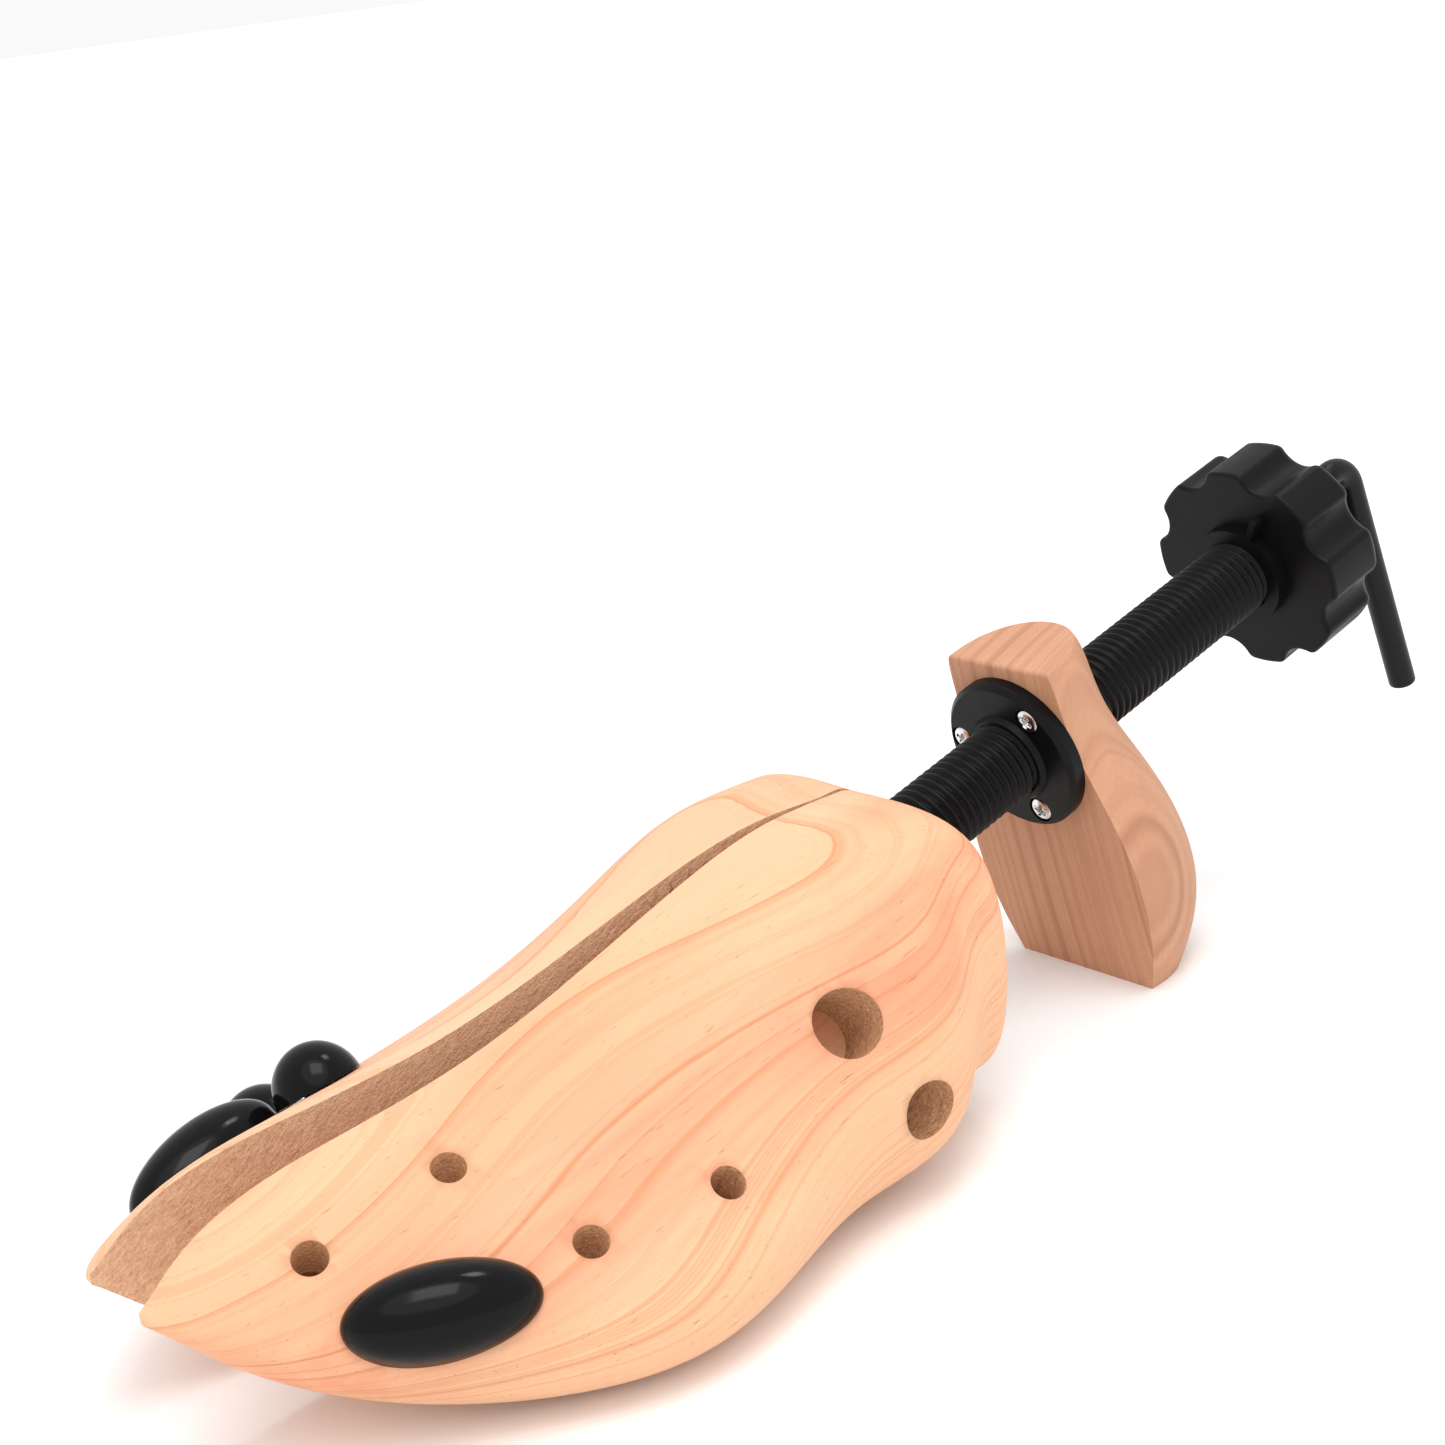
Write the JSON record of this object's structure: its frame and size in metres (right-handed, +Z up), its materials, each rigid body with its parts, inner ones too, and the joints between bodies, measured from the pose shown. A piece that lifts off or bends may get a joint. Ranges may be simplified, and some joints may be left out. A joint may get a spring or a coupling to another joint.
{
  "type": "two-way adjustable shoe tree",
  "caption": "Split wooden shoe tree: a crank spreads the forepart, a knob on a screw tube moves the heel block, and domed plugs press out sore spots.",
  "frame": {"origin": "middle of the object's box, at the floor that the sole and the heel block stand on", "axes": "+X from the toe to the knob, +Y to the right half (seen from the knob looking to the toe, the left half is on -Y), +Z up"},
  "size_m": [0.322, 0.111, 0.0953],
  "materials": {
    "pine": "sanded, unvarnished",
    "heel_wood": "sanded, unvarnished",
    "black_plastic": "satin",
    "gloss_plug": "gloss",
    "black_steel": "satin black",
    "zinc_steel": "zinc plated",
    "spring_steel": "drawn wire",
    "brass": "machined",
    "chrome": "bright"
  },
  "bodies": {
    "core": {"hinge_yoke": "zinc_steel", "hinge_pin_left": "zinc_steel", "hinge_pin_right": "zinc_steel", "return_spring": "spring_steel"},
    "left_half": {"forepart_left_half": "pine", "hinge_leaf_left": "zinc_steel", "leaf_screws_left": "zinc_steel", "ramp_plate_left": "zinc_steel", "ramp_screw_left": "zinc_steel", "spring_pin_left": "zinc_steel"},
    "right_half": {"forepart_right_half": "pine", "hinge_leaf_right": "zinc_steel", "leaf_screws_right": "zinc_steel", "ramp_plate_right": "zinc_steel", "ramp_screw_right": "zinc_steel", "spring_pin_right": "zinc_steel"},
    "spreader": {"spreader_rod": "black_steel", "thrust_collar": "zinc_steel", "collar_pin": "zinc_steel"},
    "wedge": {"wedge_nut": "brass"},
    "screw_tube": {"threaded_tube": "black_plastic", "tube_collar": "zinc_steel", "thrust_washer": "brass", "knob": "black_plastic", "knob_bush": "black_plastic"},
    "heel": {"heel_block": "heel_wood", "heel_flange_nut": "black_plastic", "flange_screws": "chrome"},
    "left_big_plug": {"large_plug_left": "gloss_plug"},
    "right_big_plug": {"large_plug_right": "gloss_plug"},
    "top_plug": {"small_plug_top": "gloss_plug"},
    "side_plug": {"small_plug_side": "gloss_plug"}
  },
  "joints": [
    {"name": "rod_turn", "type": "hinge", "parent": "core", "child": "spreader", "pos_m": [-0.00079, 0, 0.0423], "axis": [-0.9699, 0, -0.2436], "range_deg": [-5040, 4320]},
    {"name": "wedge_travel", "type": "slide", "parent": "core", "child": "wedge", "axis": [-0.9699, 0, -0.2436], "range_m": [-0.0141, 0.0121]},
    {"name": "left_half_swing", "type": "hinge", "parent": "core", "child": "left_half", "pos_m": [-0.01179, -0.009, 0.0205], "axis": [0, 0, 1], "range_deg": [-2.7, 2.35], "deforming": ["return_spring"]},
    {"name": "right_half_swing", "type": "hinge", "parent": "core", "child": "right_half", "pos_m": [-0.01179, 0.009, 0.0205], "axis": [0, 0, -1], "range_deg": [-2.7, 2.35]},
    {"name": "tube_turn", "type": "hinge", "parent": "core", "child": "screw_tube", "pos_m": [-0.00079, 0, 0.0423], "axis": [-0.9699, 0, -0.2436], "range_deg": [-5400, 7200]},
    {"name": "heel_travel", "type": "slide", "parent": "core", "child": "heel", "axis": [0.9699, 0, 0.2436], "range_m": [-0.0301, 0.0401]},
    {"name": "left_big_plug_pull", "type": "slide", "parent": "left_half", "child": "left_big_plug", "axis": [-0.2442, -0.6521, 0.7177], "range_m": [0, 0.014]},
    {"name": "right_big_plug_pull", "type": "slide", "parent": "right_half", "child": "right_big_plug", "axis": [-0.267, 0.6376, 0.7226], "range_m": [0, 0.014]},
    {"name": "top_plug_pull", "type": "slide", "parent": "right_half", "child": "top_plug", "axis": [-0.1218, 0.5277, 0.8406], "range_m": [0, 0.014]},
    {"name": "side_plug_pull", "type": "slide", "parent": "right_half", "child": "side_plug", "axis": [-0.228, 0.7955, 0.5614], "range_m": [0, 0.014]}
  ],
  "couplings": [
    {"joint": "wedge_travel", "follows": "rod_turn", "m_per_rad": 0.00015915},
    {"joint": "left_half_swing", "follows": "rod_turn", "ratio": 0.00052797},
    {"joint": "right_half_swing", "follows": "rod_turn", "ratio": 0.00052797},
    {"joint": "heel_travel", "follows": "tube_turn", "m_per_rad": 0.00031831}
  ]
}
